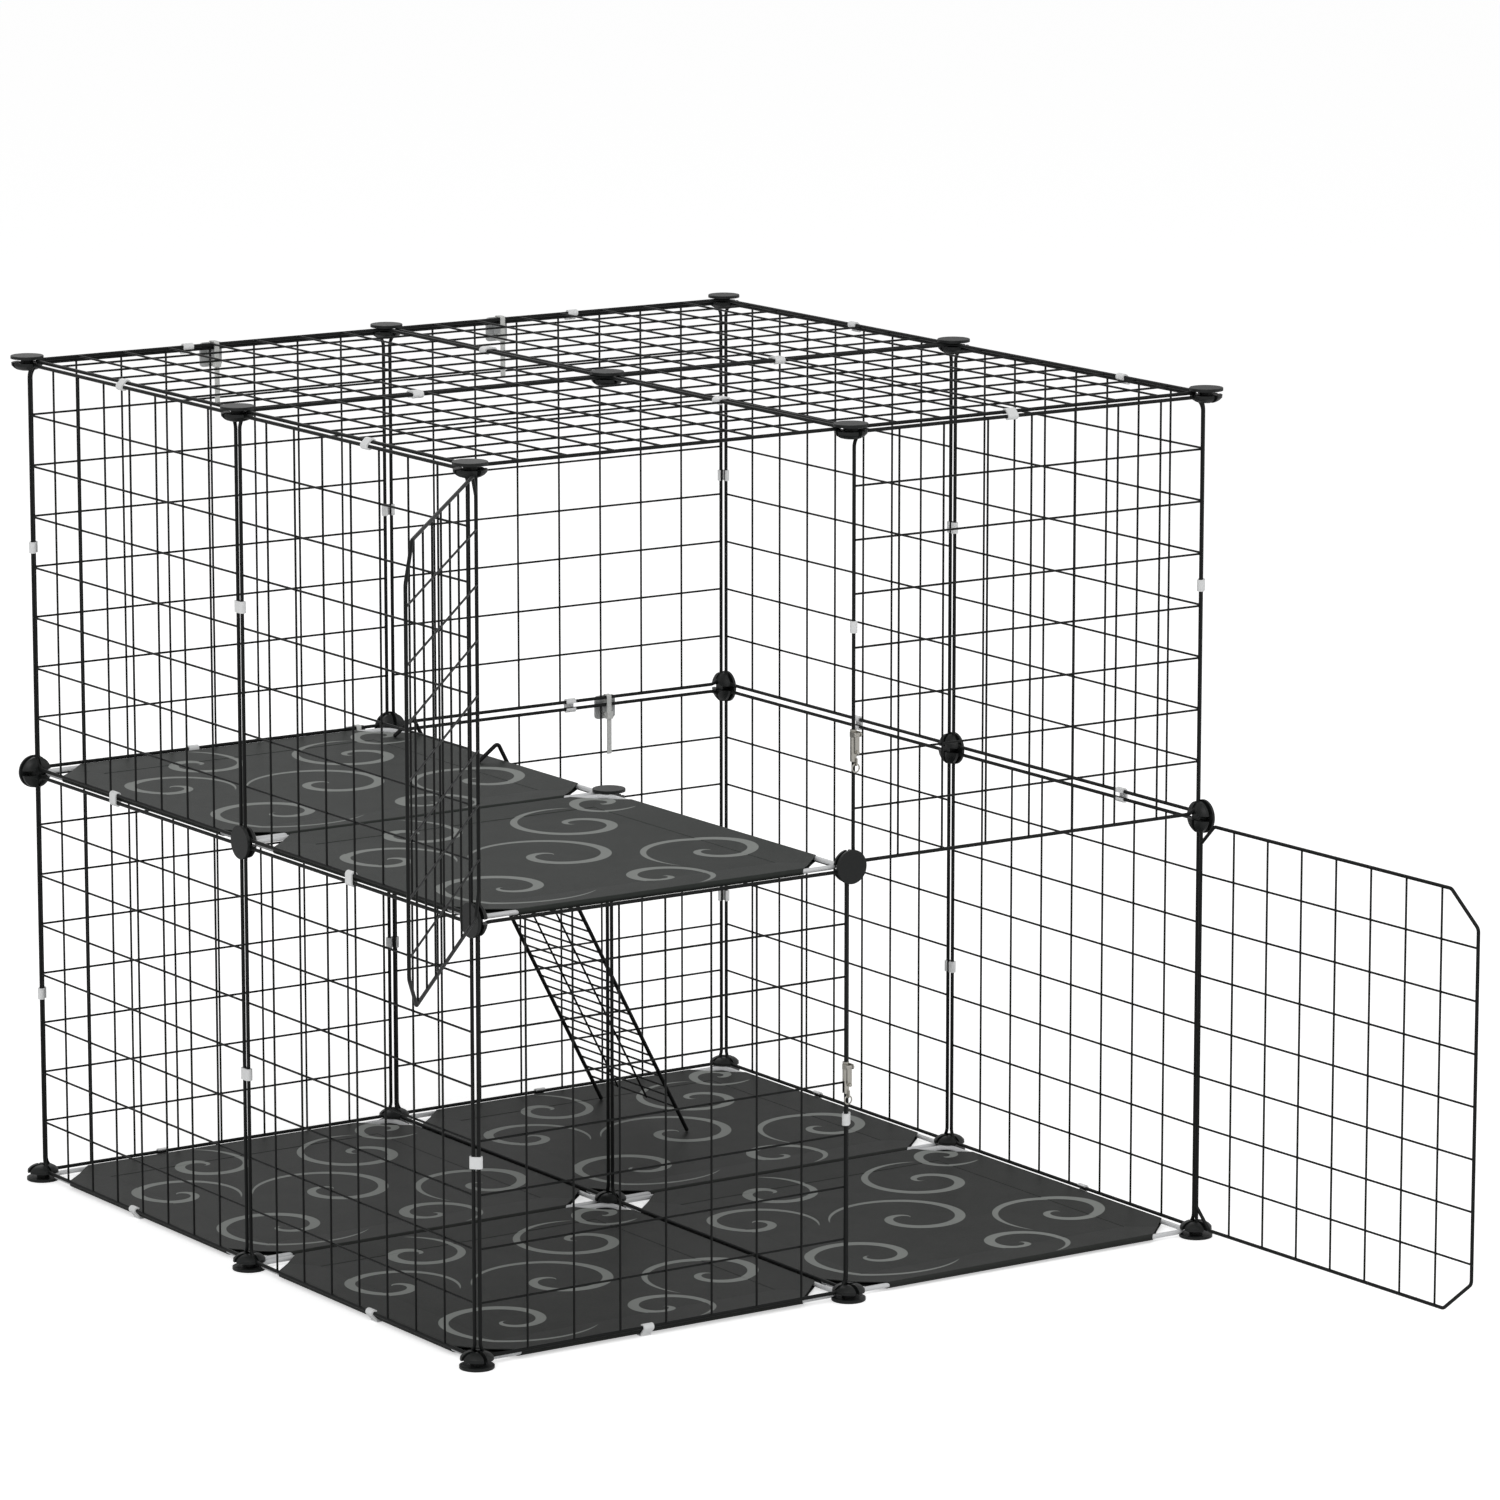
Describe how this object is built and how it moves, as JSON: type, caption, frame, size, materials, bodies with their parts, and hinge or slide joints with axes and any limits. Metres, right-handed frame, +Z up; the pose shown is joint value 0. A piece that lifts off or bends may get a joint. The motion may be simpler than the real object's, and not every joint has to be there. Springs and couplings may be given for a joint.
{
  "type": "cat cage",
  "caption": "Two-storey wire cat cage of square mesh panels clipped into corner connectors, with patterned sheet floors, a hooked ramp and two hinged mesh doors.",
  "frame": {"origin": "middle of the centre foot's bottom face, on the floor", "axes": "+Z up, -Y towards the front with the doors, +X to the right seen from the front"},
  "size_m": [0.9431, 1.0714, 0.7159],
  "materials": {
    "black_wire": "black powder coat, satin",
    "ramp_wire": "black powder coat, satin",
    "white_rod": "white plastic coat, satin",
    "platform_sheet": "dark grey sheet with a light grey scroll pattern",
    "floor_sheet": "dark grey sheet with a light grey scroll pattern",
    "connector": "black moulded plastic",
    "clip": "white moulded plastic",
    "anchor_pad": "grey translucent plastic",
    "tie": "natural nylon",
    "clasp_metal": "warm nickel plate"
  },
  "bodies": {
    "cage": {"anchor_pads": "anchor_pad", "anchor_ties": "tie", "clasp_lower_body": "clasp_metal", "clasp_upper_body": "clasp_metal", "clips_base": "clip", "clips_corner_posts": "clip", "clips_flat_posts": "clip", "clips_middle": "clip", "clips_top": "clip", "connectors_base": "connector", "connectors_middle": "connector", "connectors_top": "connector", "floor_frame_back_left": "white_rod", "floor_frame_back_right": "white_rod", "floor_frame_front_left": "white_rod", "floor_frame_front_right": "white_rod", "floor_sheet_back_left": "floor_sheet", "floor_sheet_back_right": "floor_sheet", "floor_sheet_front_left": "floor_sheet", "floor_sheet_front_right": "floor_sheet", "grid_back_lower_left": "black_wire", "grid_back_lower_right": "black_wire", "grid_back_upper_left": "black_wire", "grid_back_upper_right": "black_wire", "grid_front_lower_left": "black_wire", "grid_front_upper_right": "black_wire", "grid_left_lower_back": "black_wire", "grid_left_lower_front": "black_wire", "grid_left_upper_back": "black_wire", "grid_left_upper_front": "black_wire", "grid_right_lower_back": "black_wire", "grid_right_lower_front": "black_wire", "grid_right_upper_back": "black_wire", "grid_right_upper_front": "black_wire", "grid_top_back_left": "black_wire", "grid_top_back_right": "black_wire", "grid_top_front_left": "black_wire", "grid_top_front_right": "black_wire", "platform_frame_back": "white_rod", "platform_frame_front": "white_rod", "platform_sheet_back": "platform_sheet", "platform_sheet_front": "platform_sheet", "support_frame_back": "black_wire", "support_frame_front": "black_wire"},
    "door_upper_left": {"door_upper_left": "black_wire"},
    "door_lower_right": {"door_lower_right": "black_wire"},
    "ramp": {"ramp": "ramp_wire"},
    "clasp_upper_lever": {"clasp_upper_lever": "clasp_metal"},
    "clasp_lower_lever": {"clasp_lower_lever": "clasp_metal"},
    "clasp_upper_ring": {"clasp_upper_ring": "clasp_metal"},
    "clasp_lower_ring": {"clasp_lower_ring": "clasp_metal"}
  },
  "joints": [
    {"name": "upper_door_hinge", "type": "hinge", "parent": "cage", "child": "door_upper_left", "pos_m": [-0.351, -0.3575, 0.53495], "axis": [0, 0, 1], "range_deg": [0, 130.3]},
    {"name": "lower_door_hinge", "type": "hinge", "parent": "cage", "child": "door_lower_right", "pos_m": [0.351, -0.3575, 0.18145], "axis": [0, 0, 1], "range_deg": [-91.6, 38]},
    {"name": "ramp_lift", "type": "hinge", "parent": "cage", "child": "ramp", "pos_m": [-0.0245, 0.2355, 0.36173], "axis": [0, -1, 0], "range_deg": [0, 30]},
    {"name": "upper_clasp_lever", "type": "hinge", "parent": "cage", "child": "clasp_upper_lever", "pos_m": [0.00325, -0.3584, 0.4658], "axis": [-1, 0, 0], "range_deg": [0, 25], "stiffness_Nm_per_rad": 0.02},
    {"name": "lower_clasp_lever", "type": "hinge", "parent": "cage", "child": "clasp_lower_lever", "pos_m": [-0.00325, -0.3584, 0.1948], "axis": [-1, 0, 0], "range_deg": [0, 25], "stiffness_Nm_per_rad": 0.02},
    {"name": "upper_clasp_ring", "type": "hinge", "parent": "cage", "child": "clasp_upper_ring", "pos_m": [0.00325, -0.3569, 0.4418], "axis": [1, 0, 0], "range_deg": [-30, 8]},
    {"name": "lower_clasp_ring", "type": "hinge", "parent": "cage", "child": "clasp_lower_ring", "pos_m": [-0.00325, -0.3569, 0.1708], "axis": [1, 0, 0], "range_deg": [-30, 8]}
  ]
}
